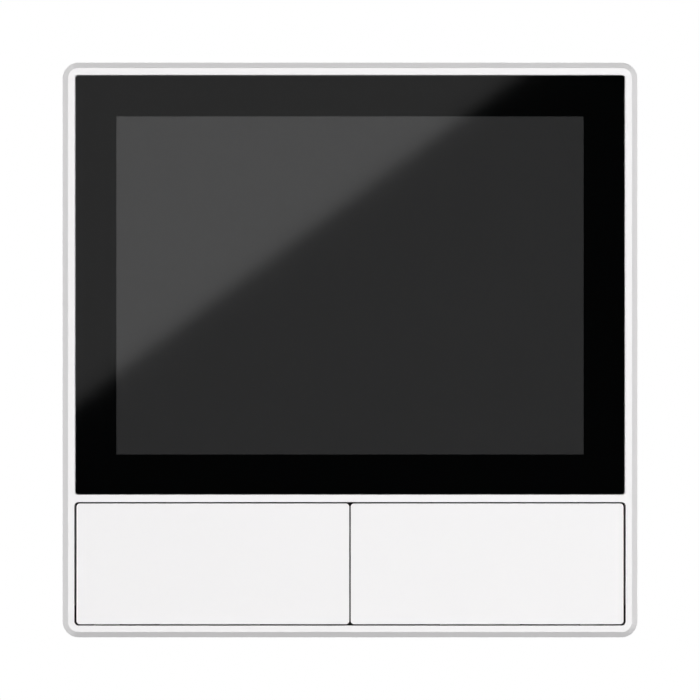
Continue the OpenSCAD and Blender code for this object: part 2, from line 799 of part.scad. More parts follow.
module box_screws() {
    color(steel)
        for (i = sides, j = sides)
            pan_screw(1.25, 2.2, 0.85, 8, i * box_screw_x, j * box_screw_z, -frame_t + 0.9, -1);
}

// ---------------------------------------------------------------- power supply

function pole_x(n) = (n - (poles + 1) / 2) * pole_pitch;

module power_board() {
    play = 0.6;
    color(board_green) difference() {
        plate(box_w - 2 * box_wall - play, box_h - 2 * box_wall - play, 1.5, power_y, power_back);
        for (i = sides, j = sides)
            rod_y(3, power_y - cut, power_back + cut, i * box_screw_x, j * box_screw_z);
        for (i = [0 : pin_cols - 1], j = sides)
            block(0.8, 0.8, power_y - cut, power_back + cut,
                  (i - (pin_cols - 1) / 2) * pin_pitch, j * pin_pitch / 2);
        for (n = [1 : poles])
            block(4.3, 0.9, power_y - cut, power_back + cut, pole_x(n), term_z + 5.3);
    }
}

module header_base() {
    color(chip_black) difference() {
        block(pin_cols * pin_pitch, 2 * pin_pitch, power_y - 2.54, power_y);
        for (i = [0 : pin_cols - 1], j = sides)
            block(0.7, 0.7, -cut, power_y + cut,
                  (i - (pin_cols - 1) / 2) * pin_pitch, j * pin_pitch / 2);
    }
}

module header_pins() {
    color(brass)
        for (i = [0 : pin_cols - 1], j = sides)
            block(0.64, 0.64, y_board_back + 0.6, power_back + 0.4,
                  (i - (pin_cols - 1) / 2) * pin_pitch, j * pin_pitch / 2);
}

relay_w = 15;
relay_h = 19;
relay_d = 15.4;
relay_z = 8.7;
module relay(x) {
    y_body = power_back + 0.5;
    y_top = power_back + relay_d;
    color([0.1, 0.28, 0.55]) {
        block(relay_w, relay_h, y_body, y_top - 0.6, x, relay_z);
        plate(relay_w - 1, relay_h - 1, 1, y_top - 0.6 - eps, y_top, relay_z, x);
        // corner feet that hold the body off the board
        for (i = sides, j = sides)
            block(1.2, 1.2, power_back, y_body + eps,
                  x + i * (relay_w / 2 - 0.8), relay_z + j * (relay_h / 2 - 0.8));
    }
}

trafo_x = 16.2;
trafo_z = 9.5;
trafo_y = power_back + 1;
trafo_h = 11;
// Ferrite frame: two legs and two yokes round the winding window
module transformer_core() {
    color([0.2, 0.2, 0.21]) difference() {
        block(13, 5, trafo_y, trafo_y + trafo_h, trafo_x, trafo_z);
        for (s = sides)
            block(3.2, 6, trafo_y + 2, trafo_y + trafo_h - 2, trafo_x + s * 3.4, trafo_z);
    }
}

// Taped winding on its bobbin, whose base stands on the board
module transformer_winding() {
    y0 = trafo_y + 2.05;
    y1 = trafo_y + trafo_h - 2.05;
    y_base = trafo_y - 0.05;
    color([0.9, 0.78, 0.25]) difference() {
        union() {
            plate(9.8, 12, 1.5, y_base - eps, y1, trafo_z, trafo_x);
            block(12.6, 12, power_back, y_base, trafo_x, trafo_z);
        }
        block(3.8, 5.2, y0 - cut, y1 + cut, trafo_x, trafo_z);
        block(14, 5.2, y_base, y0, trafo_x, trafo_z);
    }
}

// Two round cans, each with its pressed top
module filter_capacitors() {
    can_r = 3.9;
    can_h = 12.5;
    color([0.12, 0.14, 0.2])
        for (x = [-18.3, -9.6]) difference() {
            rod_y(can_r, power_back, power_back + can_h, x, -5.6);
            for (turn = [0, 90])
                translate([x, 0, -5.6]) rotate([0, turn, 0])
                    block(5.6, 0.35, power_back + can_h - 0.3, power_back + can_h + cut);
        }
}

module film_capacitor() {
    color([0.88, 0.7, 0.15]) block(11, 5.6, power_back, power_back + 10.5, 1.4, -5.6);
}

module choke() {
    color([0.25, 0.2, 0.16]) {
        rod_y(3.4, power_back, power_back + 1, 11.5, -5.6);
        rod_y(2.6, power_back + 1 - eps, power_back + 7, 11.5, -5.6);
        rod_y(3.4, power_back + 7 - eps, power_back + 8, 11.5, -5.6);
    }
}

module varistor() {
    color([0.1, 0.35, 0.6]) {
        rod_x(3.6, 16.2, 19, power_back + 4.8, -5.6);
        block(1.6, 4.4, power_back, power_back + 2.4, 17.6, -5.6);
    }
}

module rectifier() {
    color(chip_black) block(6, 4.8, power_back, power_back + 2.5, 12, 20);
}

module fuse() {
    r = 1.2;
    color([0.8, 0.82, 0.8]) rod_x(r, -6, 2, power_back + r + 0.3, 20.6);
    color(steel)
        for (x = [-6.6, 0.6])
            rod_x(r + 0.2, x, x + 2, power_back + r + 0.3, 20.6);
}

// ---------------------------------------------------------------- terminals

cage_y = 5.5;
cage_h = 6.3;
contact_y = 9.4;
head_y = term_top - 1.9;

module terminal_block() {
    width = poles * pole_pitch + 0.8;
    cavity_top = head_y - 0.8;
    color([0.3, 0.33, 0.35]) difference() {
        bar([-width / 2, width / 2], [power_back, term_top], [term_z - 6, term_z + 6]);
        for (n = [1 : poles]) {
            x = pole_x(n);
            block(5.9, 5.8, cage_y - 0.3, cavity_top, x, term_z);
            rod_y(1.65, cavity_top - cut, head_y + cut, x, term_z);
            rod_y(2.1, head_y, term_top + cut, x, term_z);
            // wire entry
            bar([x - 2.1, x + 2.1], [cage_y + 0.8, contact_y + 0.1], [term_z - 6 - cut, term_z - 2]);
            // slot of the contact strip and of its leg
            bar([x - 2.1, x + 2.1], [contact_y - 0.1, contact_y + 1], [term_z - 5.6, term_z + 5.8]);
            bar([x - 2.1, x + 2.1], [power_back - cut, contact_y + 1], [term_z + 4.9, term_z + 5.8]);
        }
    }
}

module terminal_contacts() {
    color(brass)
        for (n = [1 : poles]) {
            x = pole_x(n);
            bar([x - 2, x + 2], [contact_y, contact_y + 0.9], [term_z - 5.5, term_z + 5.7]);
            bar([x - 2, x + 2], [power_y - 0.3, contact_y + eps], [term_z + 5, term_z + 5.7]);
        }
}

module terminal_screw(n) {
    x = pole_x(n);
    color(steel) difference() {
        union() {
            rod_y(1.9, head_y, head_y + 1.5, x, term_z);
            rod_y(1.5, contact_y + 1, head_y + eps, x, term_z);
        }
        block(3.8 + cut, 0.6, head_y + 0.7, head_y + 1.5 + cut, x, term_z);
    }
}

module terminal_cage(n) {
    x = pole_x(n);
    color(brass) difference() {
        block(5.6, 5.4, cage_y, cage_y + cage_h, x, term_z);
        block(4.4, 6, cage_y + 1, cage_y + cage_h - 1.3, x, term_z);
        rod_y(1.55, cage_y + 3, cage_y + cage_h + cut, x, term_z);
    }
}

// ---------------------------------------------------------------- the assembly

front_bezel();
cover_glass();
black_mask();
glass_tape();
touch_sensor();
lcd_cell();
backlight_frame();
diffuser_film();
light_guide();
backlight_leds();
lcd_shield();
display_flex();
main_board();
board_chips();
board_connectors();
radio_board();
radio_shield();
board_socket();
switch_body(-key_x);  // switch_left
switch_body(key_x);  // switch_right
plunger(-key_x);  // plunger_left
plunger(key_x);  // plunger_right
key_left();
key_right();
speaker_box();
speaker_driver();
speaker_gasket();
speaker_wires();
microphone();
microphone_boot();
back_cover();
cover_screws();
board_screws();
wall_frame();
rear_box();
box_screws();
power_board();
header_base();
header_pins();
relay(-15);  // relay_1
relay(1);  // relay_2
transformer_core();
transformer_winding();
filter_capacitors();
film_capacitor();
varistor();
rectifier();
choke();
fuse();
terminal_block();
terminal_contacts();
for (n = [1 : poles]) {
    terminal_screw(n);
    terminal_cage(n);
}
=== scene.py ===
"""Looks of the flush-mounted video intercom monitor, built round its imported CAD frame."""

import json
import math
import random

import bmesh
import bpy
from mathutils import Matrix, Vector
from mathutils.bvhtree import BVHTree


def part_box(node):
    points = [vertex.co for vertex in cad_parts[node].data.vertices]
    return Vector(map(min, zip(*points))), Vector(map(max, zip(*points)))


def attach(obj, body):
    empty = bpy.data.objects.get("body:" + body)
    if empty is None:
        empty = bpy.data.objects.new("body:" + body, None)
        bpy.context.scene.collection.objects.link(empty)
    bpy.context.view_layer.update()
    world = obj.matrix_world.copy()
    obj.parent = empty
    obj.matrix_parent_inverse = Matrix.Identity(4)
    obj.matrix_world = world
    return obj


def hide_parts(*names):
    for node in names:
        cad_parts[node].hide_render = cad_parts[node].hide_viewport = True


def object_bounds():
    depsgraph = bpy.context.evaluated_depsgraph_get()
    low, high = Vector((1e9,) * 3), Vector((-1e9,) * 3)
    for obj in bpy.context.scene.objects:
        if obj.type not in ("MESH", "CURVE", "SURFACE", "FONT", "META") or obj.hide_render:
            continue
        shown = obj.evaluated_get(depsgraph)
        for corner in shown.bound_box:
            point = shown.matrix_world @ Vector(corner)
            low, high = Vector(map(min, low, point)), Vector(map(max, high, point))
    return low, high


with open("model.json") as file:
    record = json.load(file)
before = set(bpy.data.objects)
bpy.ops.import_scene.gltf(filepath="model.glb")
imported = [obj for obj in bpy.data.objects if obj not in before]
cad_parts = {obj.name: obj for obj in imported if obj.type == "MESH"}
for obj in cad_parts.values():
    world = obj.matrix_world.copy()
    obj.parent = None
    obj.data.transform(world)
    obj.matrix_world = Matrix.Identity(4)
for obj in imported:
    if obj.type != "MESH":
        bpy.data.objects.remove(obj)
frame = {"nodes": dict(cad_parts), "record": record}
cad_low, cad_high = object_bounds()

MM = 0.001
WELD = 0.0005 * MM  # vertices closer than this are one vertex
RECORD = frame["record"]
BODY = {n: body for body, members in RECORD["behaviour"]["bodies"].items() for n in members}
SLOT = {row["node"]: row["material_slot"] for row in RECORD["subparts"]}


# ---------------------------------------------------------------- material tools

WAVE_PERIOD = 0.314  # distance between the bands of a wave texture at a scale of 1

# Pattern of the printed boards, in mm: patches with tracks one way, the tracks in them, and pads
TRACK_PATCH = 7
TRACK_PITCH = 0.9
PAD_PITCH = 4.2
# Size of the pads, as parts of their pitch: all plated up to the first, none past the second
PAD_RADII = (0.06, 0.08)
TRACK_EDGES = (0.7, 0.8)  # where a band's height starts and stops turning into a track
UPRIGHT_SHARE = 0.5  # share of the patches whose tracks run upright, not sideways
BARE_SHARE = 0.45  # share of the patches without tracks
STEP = 0.01  # half the width of the turn from one kind of patch to the other
# Black painted on a board's front as shade for the key gaps
PAINTED_SHADE_BLACK = (0.004, 0.004, 0.004)


class Nodes:
    """A material's node tree, with short calls for the nodes that the materials below share."""

    def __init__(self, name):
        self.mat = bpy.data.materials.new(name)
        self.mat.use_nodes = True
        self.tree = self.mat.node_tree
        self.tree.nodes.clear()
        self.out = self.add("OutputMaterial")
        self.shader = self.add("BsdfPrincipled")
        self.link(self.shader.outputs["BSDF"], self.out.inputs["Surface"])
        self.place = self.add("TexCoord").outputs["Object"]

    def add(self, kind, **settings):
        node = self.tree.nodes.new("ShaderNode" + kind)
        for key, value in settings.items():
            setattr(node, key, value)
        return node

    def link(self, source, target):
        self.tree.links.new(source, target)

    def set(self, **values):
        for key, value in values.items():
            self.shader.inputs[key.replace("_", " ")].default_value = value

    def noise(self, size_mm, detail=2.0, rough=0.5, stretch=(1, 1, 1)):
        """Noise whose features are about size_mm across, from 0 to 1."""
        source = self.place
        if stretch != (1, 1, 1):
            mapping = self.add("Mapping")
            mapping.inputs["Scale"].default_value = stretch
            self.link(source, mapping.inputs["Vector"])
            source = mapping.outputs["Vector"]
        noise = self.add("TexNoise")
        noise.inputs["Scale"].default_value = 1 / (size_mm * MM)
        noise.inputs["Detail"].default_value = detail
        noise.inputs["Roughness"].default_value = rough
        self.link(source, noise.inputs["Vector"])
        return noise.outputs["Fac"]

    def ramp(self, value, low, high, start=0.0, end=1.0):
        """value from start to end, spread over low to high."""
        node = self.add("MapRange")
        for name, number in zip(("From Min", "From Max", "To Min", "To Max"), (start, end, low, high)):
            node.inputs[name].default_value = number
        self.link(value, node.inputs["Value"])
        return node.outputs["Result"]

    def blend(self, factor, first, second):
        """Colour between first and second. Each is a colour or a socket."""
        node = self.add("Mix", data_type="RGBA")
        self.link(factor, node.inputs["Factor"])
        for slot, value in ((6, first), (7, second)):
            if isinstance(value, bpy.types.NodeSocket):
                self.link(value, node.inputs[slot])
            else:
                node.inputs[slot].default_value = (*value, 1)
        return node.outputs[2]

    def bump(self, height, depth_mm, strength=1.0):
        node = self.add("Bump")
        node.inputs["Strength"].default_value = strength
        node.inputs["Distance"].default_value = depth_mm * MM
        self.link(height, node.inputs["Height"])
        self.link(node.outputs["Normal"], self.shader.inputs["Normal"])

    def colour(self, socket):
        self.link(socket, self.shader.inputs["Base Color"])

    def roughness(self, socket):
        self.link(socket, self.shader.inputs["Roughness"])


def scaled(colour, factor):
    return tuple(min(1.0, c * factor) for c in colour)


def moulded(name, colour, rough=0.45, grain_mm=0.25, depth_mm=0.01, mottle=0.02, ior=1.46):
    """Moulded plastic: a fine cavity grain, faint flow marks and a slightly uneven gloss."""
    n = Nodes(name)
    cloud = n.noise(size_mm=9, detail=3, rough=0.6)
    n.colour(n.blend(cloud, scaled(colour, 1 - mottle), scaled(colour, 1 + mottle)))
    n.roughness(n.ramp(n.noise(size_mm=4, detail=4), rough - 0.05, rough + 0.05, 0.3, 0.7))
    n.bump(n.noise(grain_mm, detail=2.5, rough=0.6), depth_mm)
    n.set(IOR=ior)
    return n.mat


def plated(name, colour, rough=0.28, brush_mm=0.08, stretch=(1, 1, 1)):
    """Plated metal with fine marks from forming, along one direction if stretched."""
    n = Nodes(name)
    marks = n.noise(brush_mm, detail=3, stretch=stretch)
    stain = n.noise(size_mm=2.5, detail=3, rough=0.65)
    n.colour(n.blend(stain, scaled(colour, 0.86), scaled(colour, 1.05)))
    n.roughness(n.ramp(marks, rough - 0.1, rough + 0.14, 0.25, 0.75))
    n.bump(marks, 0.004)
    n.set(Metallic=1.0)
    return n.mat


def solder_mask(name, colour, copper, painted_shade_front=None):
    """Printed board: lacquer over bundles of copper tracks, with small plated pads here and there.

    All of it up to the given depth is painted black, painted shade so that no gap before it shows a
    colour.
    """
    n = Nodes(name)
    turn = n.add("Mapping")
    turn.inputs["Rotation"].default_value = (math.radians(90), 0, 0)
    n.link(n.place, turn.inputs["Vector"])
    plane = turn.outputs["Vector"]
    patches = n.add("TexVoronoi", voronoi_dimensions="2D", distance="CHEBYCHEV")
    patches.inputs["Scale"].default_value = 1 / (TRACK_PATCH * MM)
    n.link(plane, patches.inputs["Vector"])
    chance = n.add("SeparateColor")
    n.link(patches.outputs["Color"], chance.inputs["Color"])
    lines = []
    for axis in "XY":
        wave = n.add("TexWave", wave_type="BANDS", bands_direction=axis)
        wave.inputs["Scale"].default_value = WAVE_PERIOD / (TRACK_PITCH * MM)
        n.link(plane, wave.inputs["Vector"])
        lines.append(n.ramp(wave.outputs["Fac"], 0, 1, *TRACK_EDGES))
    either = n.add("Mix", data_type="FLOAT")
    sideways = n.ramp(chance.outputs["Red"], 0, 1, UPRIGHT_SHARE - STEP, UPRIGHT_SHARE + STEP)
    n.link(sideways, either.inputs["Factor"])
    for line, socket in zip(lines, (2, 3)):
        n.link(line, either.inputs[socket])
    bundled = n.add("Math", operation="MULTIPLY")
    n.link(either.outputs["Result"], bundled.inputs[0])
    n.link(n.ramp(chance.outputs["Green"], 0, 1, BARE_SHARE - STEP, BARE_SHARE + STEP), bundled.inputs[1])
    tracks = bundled.outputs["Value"]
    dots = n.add("TexVoronoi", voronoi_dimensions="2D")
    dots.inputs["Scale"].default_value = 1 / (PAD_PITCH * MM)
    dots.inputs["Randomness"].default_value = 0.8
    n.link(plane, dots.inputs["Vector"])
    pads = n.ramp(dots.outputs["Distance"], 1, 0, *PAD_RADII)
    lacquer = n.blend(n.noise(size_mm=6), scaled(colour, 0.85), scaled(colour, 1.15))
    with_tracks = n.blend(tracks, lacquer, scaled(colour, 1.8))
    surface = n.blend(pads, with_tracks, copper)
    # Painted shade: black on the board's front, which the key gaps look onto
    if painted_shade_front is not None:
        depth = n.add("SeparateXYZ")
        n.link(n.place, depth.inputs["Vector"])
        behind = n.ramp(depth.outputs["Y"], 0, 1, painted_shade_front, painted_shade_front + 0.1 * MM)
        surface = n.blend(behind, PAINTED_SHADE_BLACK, surface)
    n.colour(surface)
    n.roughness(n.ramp(n.noise(size_mm=0.5), 0.22, 0.36))
    n.bump(tracks, 0.02)
    n.set(IOR=1.5)
    return n.mat


def cast_resin(name, colour, rough=0.5):
    """Moulded resin of chips: matt, with a fine sandy grain."""
    return moulded(name, colour, rough=rough, grain_mm=0.09, depth_mm=0.008, mottle=0.12)


def wound_wire(name, colour, pitch_mm, axis):
    """Enamelled wire wound side by side round the given axis, with painted shade in the grooves between
    the turns.
    """
    n = Nodes(name)
    wave = n.add("TexWave", wave_type="BANDS", bands_direction=axis, wave_profile="SIN")
    wave.inputs["Scale"].default_value = WAVE_PERIOD / (pitch_mm * MM)
    wave.inputs["Distortion"].default_value = 0.15
    n.link(n.place, wave.inputs["Vector"])
    turns = wave.outputs["Fac"]
    # Painted shade: darker in the grooves between the turns
    n.colour(n.blend(turns, scaled(colour, 0.35), colour))
    n.roughness(n.ramp(turns, 0.45, 0.25))
    n.bump(turns, 0.08)
    n.set(Coat_Weight=0.5, Coat_Roughness=0.15)
    return n.mat


def wrapped_film(name, colour, rough=0.3, ridge_mm=1.8):
    """Tape or shrunk sleeve: smooth film with faint ridges where it overlaps."""
    n = Nodes(name)
    wave = n.add("TexWave", wave_type="BANDS", bands_direction="Y", wave_profile="SAW")
    wave.inputs["Scale"].default_value = WAVE_PERIOD / (ridge_mm * MM)
    wave.inputs["Distortion"].default_value = 0.6
    n.link(n.place, wave.inputs["Vector"])
    n.colour(n.blend(n.noise(size_mm=3, detail=3), scaled(colour, 0.88), scaled(colour, 1.08)))
    n.roughness(n.ramp(n.noise(size_mm=1.2), rough - 0.06, rough + 0.1))
    n.bump(wave.outputs["Fac"], 0.03)
    return n.mat


def clear_pane(name, tint, alpha):
    """Polished cover glass: nearly clear, with its gloss on top and the faintest uneven polish."""
    n = Nodes(name)
    n.set(Alpha=alpha, IOR=1.52, Roughness=0.02)
    n.colour(n.blend(n.noise(size_mm=12), scaled(tint, 0.9), scaled(tint, 1.1)))
    return n.mat


def polished(name, colour, ior, rough=0.03, mottle=0.03):
    """A dark, optically flat surface under the glass."""
    n = Nodes(name)
    n.colour(n.blend(n.noise(size_mm=15), scaled(colour, 1 - mottle), scaled(colour, 1 + mottle)))
    n.roughness(n.ramp(n.noise(size_mm=8), rough, rough + 0.01))
    n.set(IOR=ior)
    return n.mat


def foam(name, colour, cell_mm=0.22):
    """Closed-cell foam: round cells, quite matt, with painted shade in the cells' hollows and painted
    light on their rims.
    """
    n = Nodes(name)
    cells = n.add("TexVoronoi", feature="SMOOTH_F1")
    cells.inputs["Scale"].default_value = 1 / (cell_mm * MM)
    n.link(n.place, cells.inputs["Vector"])
    # Painted shade and light: darker in each cell's hollow, lighter on its rim
    n.colour(n.blend(cells.outputs["Distance"], scaled(colour, 0.7), scaled(colour, 1.4)))
    n.bump(cells.outputs["Distance"], 0.05)
    n.set(Roughness=0.9)
    return n.mat


WHITE = (0.885, 0.875, 0.88)
FACE_GRAIN = dict(rough=0.42, grain_mm=0.12, depth_mm=0.002, mottle=0.006)

MATERIALS = {
    "face_plastic": moulded("face_plastic", WHITE, **FACE_GRAIN),
    "key_plastic": moulded("key_plastic", WHITE, **FACE_GRAIN),
    # Painted shade: the black given to the walls and hollows behind the key gaps, where shadow falls
    "gap_painted_shade": moulded("gap_painted_shade", (0.012, 0.012, 0.013), rough=0.6, grain_mm=0.2),
    "cover_glass": clear_pane("cover_glass", (0.005, 0.006, 0.006), 0.06),
    "black_ink": polished("black_ink", (0.0003, 0.0003, 0.00035), 1.5),
    "foam_tape": foam("foam_tape", (0.02, 0.02, 0.02)),
    "sensor_film": polished("sensor_film", (0.0305, 0.0305, 0.031), 1.88),
    "display_cell": polished("display_cell", (0.0275, 0.0275, 0.028), 1.88),
    "backlight_plastic": moulded("backlight_plastic", (0.78, 0.78, 0.76), rough=0.5, grain_mm=0.2,
                                 depth_mm=0.006),
    "diffuser": moulded("diffuser", (0.85, 0.85, 0.87), rough=0.65, grain_mm=0.06, depth_mm=0.004),
    "light_guide": polished("light_guide", (0.7, 0.78, 0.8), 1.49, rough=0.06),
    "led_strip": moulded("led_strip", (0.75, 0.6, 0.25), rough=0.35, grain_mm=0.3, depth_mm=0.004),
    "sheet_steel": plated("sheet_steel", (0.68, 0.69, 0.7), rough=0.32, stretch=(1, 1, 0.05)),
    "flexible_board": wrapped_film("flexible_board", (0.5, 0.2, 0.03), rough=0.25, ridge_mm=0.6),
    # The main board's front is painted black as painted shade for the key gaps
    "main_board": solder_mask("main_board", (0.012, 0.045, 0.11), (0.75, 0.55, 0.25),
                              painted_shade_front=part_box("main_board")[0].y + 0.1 * MM),
    "chip_resin": cast_resin("chip_resin", (0.018, 0.018, 0.02)),
    "connector_plastic": moulded("connector_plastic", (0.72, 0.68, 0.58), rough=0.5, grain_mm=0.15),
    "radio_board": solder_mask("radio_board", (0.01, 0.012, 0.013), (0.75, 0.55, 0.25)),
    "switch_body": cast_resin("switch_body", (0.02, 0.02, 0.02)),
    "switch_plunger": moulded("switch_plunger", (0.45, 0.03, 0.02), rough=0.35, grain_mm=0.2),
    "speaker_plastic": cast_resin("speaker_plastic", (0.03, 0.03, 0.03)),
    "speaker_metal": plated("speaker_metal", (0.3, 0.3, 0.31), rough=0.4),
    "gasket_foam": foam("gasket_foam", (0.03, 0.03, 0.03)),
    "lead_insulation": moulded("lead_insulation", (0.42, 0.02, 0.015), rough=0.4, grain_mm=0.3),
    "screw_steel": plated("screw_steel", (0.72, 0.72, 0.7), rough=0.26),
    "box_plastic": moulded("box_plastic", (0.035, 0.036, 0.038), rough=0.55, grain_mm=0.35,
                           depth_mm=0.03, mottle=0.08),
    "power_board": solder_mask("power_board", (0.012, 0.11, 0.045), (0.7, 0.7, 0.68)),
    "tin": plated("tin", (0.74, 0.74, 0.72), rough=0.3),
    "ceramic": cast_resin("ceramic", (0.42, 0.3, 0.18), rough=0.4),
    "pin_brass": plated("pin_brass", (0.86, 0.66, 0.3), rough=0.2),
    "relay_case": moulded("relay_case", (0.02, 0.1, 0.36), rough=0.3, grain_mm=0.3, depth_mm=0.006,
                          mottle=0.05),
    "ferrite": cast_resin("ferrite", (0.04, 0.04, 0.042), rough=0.6),
    "winding_tape": wrapped_film("winding_tape", (0.78, 0.55, 0.05)),
    "capacitor_sleeve": wrapped_film("capacitor_sleeve", (0.02, 0.035, 0.09), rough=0.22, ridge_mm=6),
    "film_capacitor": moulded("film_capacitor", (0.7, 0.42, 0.03), rough=0.38, grain_mm=0.3),
    "varistor_coat": moulded("varistor_coat", (0.02, 0.13, 0.34), rough=0.25, grain_mm=0.9,
                             depth_mm=0.03),
    "choke_winding": wound_wire("choke_winding", (0.5, 0.17, 0.05), 0.4, "Y"),
    "fuse_glass": moulded("fuse_glass", (0.7, 0.74, 0.72), rough=0.08, grain_mm=0.8, depth_mm=0.004),
    "terminal_plastic": moulded("terminal_plastic", (0.09, 0.11, 0.12), rough=0.45, grain_mm=0.25,
                                depth_mm=0.012, mottle=0.05),
    "terminal_brass": plated("terminal_brass", (0.8, 0.66, 0.38), rough=0.3),
}


# ---------------------------------------------------------------- pieces from the CAD nodes

SHARP = math.radians(28)  # edges that turn by more than this are rounded
FLAT = math.radians(0.3)  # faces that turn by less than this are joined up
SLIVER = 1e-8  # edges shorter than this, in metres, are taken out


def finish_piece(name, bm, material, body, smooth=True):
    """Turns a bmesh into a piece that rides on a body."""
    mesh = bpy.data.meshes.new(name)
    bm.to_mesh(mesh)
    bm.free()
    for mat in material if isinstance(material, (list, tuple)) else [material]:
        mesh.materials.append(mat)
    piece = bpy.data.objects.new(name, mesh)
    bpy.context.scene.collection.objects.link(piece)
    if smooth:
        for face in mesh.polygons:
            face.use_smooth = True
        weighted = piece.modifiers.new("even_normals", "WEIGHTED_NORMAL")
        weighted.mode = "FACE_AREA"
        weighted.weight = 100
    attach(piece, body)
    return piece


def rounded_copy(node, edge_mm, segments):
    """The node's shape as a bmesh, its flat faces joined up and its sharp edges rounded."""
    bm = bmesh.new()
    bm.from_mesh(frame["nodes"][node].data)
    bmesh.ops.remove_doubles(bm, verts=bm.verts, dist=WELD)
    bmesh.ops.dissolve_limit(bm, angle_limit=FLAT, verts=bm.verts, edges=bm.edges)
    sharp = [e for e in bm.edges if len(e.link_faces) == 2 and e.calc_face_angle() > SHARP]
    if edge_mm:
        bmesh.ops.bevel(bm, geom=sharp, offset=edge_mm * MM, offset_type="OFFSET", segments=segments,
                        profile=0.5, affect="EDGES", clamp_overlap=True)
    bmesh.ops.dissolve_degenerate(bm, dist=SLIVER, edges=bm.edges)
    return bm


def blacken(bm, low, high):
    """Gives the faces whose middles lie between two corners the piece's second material, a black that
    paints the shade inside the key gaps.
    """
    for face in bm.faces:
        middle = face.calc_center_bounds()
        if all(low[i] < middle[i] < high[i] for i in range(3)):
            face.material_index = 1


def dress(node, edge_mm=0.06, segments=2, thin_mm=0.0):
    """A piece that stands for a CAD node, with rounded edges and its own material."""
    bm = rounded_copy(node, edge_mm, segments)
    material = [MATERIALS[SLOT[node]]]
    # Faces in these boxes get the black second material: painted shade for the key gaps
    if node in BLACKENED:
        for low, high in BLACKENED[node]:
            blacken(bm, low, high)
        material.append(MATERIALS["gap_painted_shade"])
    if thin_mm:
        middle = sum(v.co.y for v in bm.verts) / len(bm.verts)
        for v in bm.verts:
            v.co.y += math.copysign(thin_mm * MM / 2, middle - v.co.y)
    piece = finish_piece(node + "_part", bm, material, BODY[node], bool(edge_mm))
    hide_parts(node)
    return piece


def keep(node):
    """A thin CAD node keeps its mesh and gets its material."""
    piece = frame["nodes"][node]
    for held in piece.material_slots:
        held.link = "OBJECT"
        held.material = MATERIALS[SLOT[node]]


# Radius of the rounded edges, in mm, by node; every other node is kept as it is
EDGES = {
    "front_bezel": 0.02, "cover_glass": 0.04, "key_left": 0.025, "key_right": 0.025,
    "wall_frame": 0.15, "rear_box": 0.15, "back_cover": 0.1,
    "terminal_block": 0.12, "board_socket": 0.06, "header_base": 0.08, "header_pins": 0.08,
    "relay_1": 0.25, "relay_2": 0.25, "transformer_core": 0.15, "transformer_winding": 0.15,
    "filter_capacitors": 0.2, "film_capacitor": 0.3, "varistor": 0.4, "rectifier": 0.15,
    "choke": 0.15, "fuse": 0.1, "terminal_contacts": 0.06, "box_screws": 0.1,
    "cover_screws": 0.06, "board_screws": 0.06, "main_board": 0.04, "power_board": 0.05,
    "board_chips": 0.06, "board_connectors": 0.06, "radio_board": 0.04, "radio_shield": 0.12,
    "switch_left": 0.08, "switch_right": 0.08, "plunger_left": 0.1, "plunger_right": 0.1,
    "speaker_box": 0.1, "speaker_driver": 0.08, "lcd_shield": 0.05, "backlight_frame": 0.05,
    "microphone": 0.08, "microphone_boot": 0.08, "speaker_gasket": 0.04,
    **{name: 0.08 for name in SLOT if name.startswith(("terminal_screw_", "terminal_cage_"))},
}
# The keys' opening, from just behind the face: all in it is painted black, painted shade so that the gaps
# show no light.
# It is two boxes, because beside the bevel it reaches less far down than behind the bevel.
SKIN, BEVEL_DEPTH, OPENING_DEPTH = 0.1 * MM, 1.3 * MM, 7 * MM  # measured back from the face
BEVEL_AND_RIM = 1.7 * MM  # measured up from the face's lower edge
ROOM, ROOM_ABOVE = 0.5 * MM, 1.5 * MM  # how far the opening reaches past the keys
key_low, key_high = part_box("key_left")[0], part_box("key_right")[1]
RECESS = [
    (
        (key_low.x - ROOM, cad_low.y + start, low_z),
        (key_high.x + ROOM, cad_low.y + end, key_high.z + ROOM_ABOVE),
    )
    for start, end, low_z in (
        (SKIN, BEVEL_DEPTH, cad_low.z + BEVEL_AND_RIM),
        (BEVEL_DEPTH, OPENING_DEPTH, key_low.z - ROOM),
    )
]
# The back cover's inner face, which the gaps lead to as well, and all of the cover in front of it: painted
# black as painted shade too
COVER_FACE = -3.3 * MM
COVER_INSIDE = [(cad_low, Vector((cad_high.x, COVER_FACE, cad_high.z)))]
# Boxes of each piece whose faces are painted black as shade for the key gaps
BLACKENED = {
    "front_bezel": RECESS,
    "key_left": RECESS,
    "key_right": RECESS,
    "back_cover": COVER_INSIDE,
}
# Printed layers that would otherwise share a face with the sheets they lie on
THINNED = {"black_mask": 0.03}
for name in SLOT:
    if name in EDGES or name in THINNED:
        dress(name, EDGES.get(name, 0), thin_mm=THINNED.get(name, 0))
    else:
        keep(name)


# ---------------------------------------------------------------- small parts and joints of the boards

# Parts whose legs go through the power board, and how far in from their corners the legs stand
LEADED = ("relay_1", "relay_2", "transformer_winding", "filter_capacitors", "film_capacitor", "varistor",
          "rectifier", "choke", "fuse", "terminal_contacts")
LEG_INSET = 1.6 * MM
STANDS_ON = 0.3 * MM  # a part that starts less than this behind the board stands on it
# Room that a soldered joint needs round it and before it, and its radii and heights in mm
JOINT_REACH, JOINT_HEIGHT = 1.2 * MM, 1.0 * MM
JOINT_PROFILE = ((0.95, 0), (0.62, 0.12), (0.44, 0.38), (0.36, 0.7), (0.33, 1.0), (0.2, 1.06))
# A chip resistor or capacitor, as parts of its length: width, tinned end, distance in a row, and its
# body's thickness beside its ends'
CHIP_WIDTH, CHIP_END, CHIP_PITCH, CHIP_BODY = 0.5, 0.22, 1.02, 0.94
CHIP_ROW = (2, 6)  # fewest and most chips in a row
CHIP_EDGE = 0.03 * MM
CORNER = 0.7  # of a spot's reach: where its corners are tested for board under them


